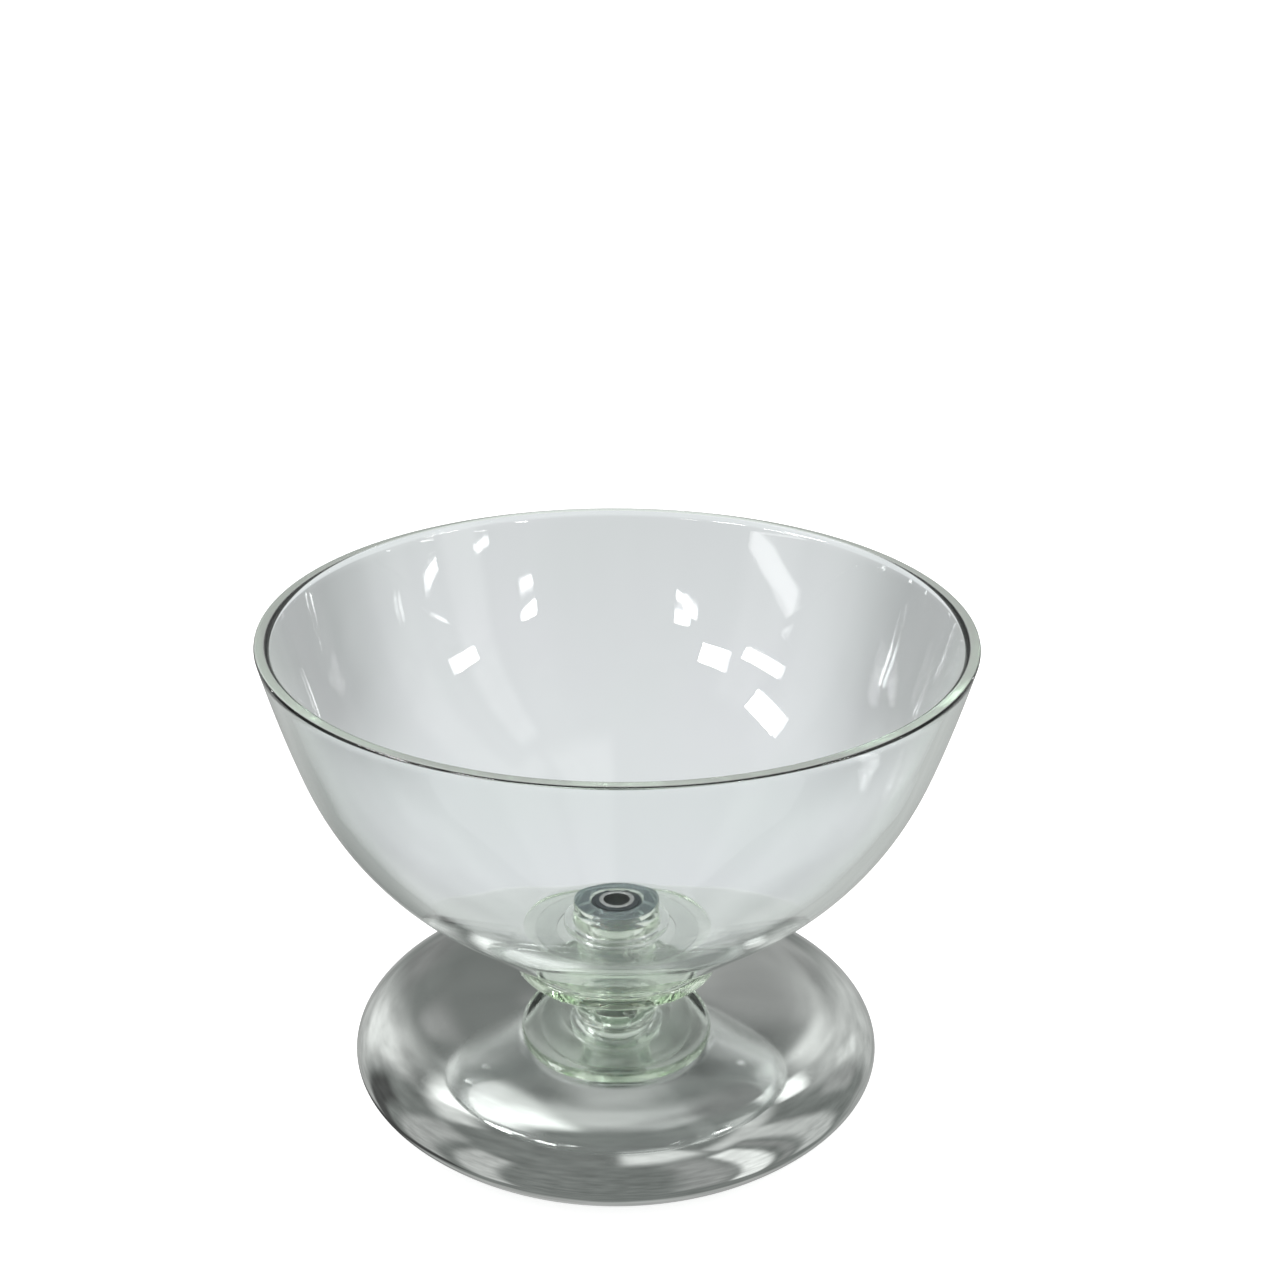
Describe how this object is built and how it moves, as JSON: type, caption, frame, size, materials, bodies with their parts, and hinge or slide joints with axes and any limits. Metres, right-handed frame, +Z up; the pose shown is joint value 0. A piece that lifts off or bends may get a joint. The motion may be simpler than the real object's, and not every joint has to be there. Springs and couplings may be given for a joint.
{
  "type": "pedestal display bowl",
  "caption": "Clear open bowl with a round hub that turns on a short chrome post and a low domed chrome base; the bowl lifts off.",
  "frame": {"origin": "on the turning axis, at the surface the base stands on", "axes": "+Z up along the turning axis, out of the bowl's mouth"},
  "size_m": [0.3042, 0.3041, 0.222],
  "materials": {
    "clear_acrylic": "polished clear acrylic, faint grey-green in thick sections",
    "hub_acrylic": "polished clear acrylic, green tint in the thick turned hub",
    "clear_gasket": "translucent silicone",
    "bush_nylon": "natural nylon",
    "post_chrome": "bright chrome plate",
    "base_chrome": "bright chrome plate",
    "washer_dark": "black oxide spring steel",
    "fastener_steel": "zinc plated steel",
    "weight_iron": "rough casting",
    "plate_black": "black semi-matt paint",
    "foot_rubber": "matt rubber"
  },
  "bodies": {
    "base": {"base_shell": "base_chrome", "base_weight": "weight_iron", "base_plate": "plate_black", "plate_screws": "fastener_steel", "foot_ring": "foot_rubber", "post_tube": "post_chrome", "shoulder_ring": "post_chrome", "thrust_washer": "bush_nylon", "spacer_sleeve": "fastener_steel", "lock_washer": "fastener_steel", "post_nut": "fastener_steel", "top_washer": "washer_dark", "retaining_ring": "washer_dark"},
    "hub": {"hub_sleeve": "hub_acrylic", "hub_flange": "hub_acrylic", "hub_cap": "hub_acrylic", "lower_bush": "bush_nylon", "upper_bush": "bush_nylon", "grub_screw": "fastener_steel", "bowl_gasket": "clear_gasket"},
    "bowl": {"bowl": "clear_acrylic", "neck_ring": "clear_acrylic"}
  },
  "joints": [
    {"name": "hub_turn", "type": "hinge", "parent": "base", "child": "hub", "pos_m": [0, 0, 0.05], "axis": [0, 0, 1], "continuous": true},
    {"name": "bowl_lift", "type": "slide", "parent": "hub", "child": "bowl", "axis": [0, 0, 1], "range_m": [0, 0.03]}
  ]
}
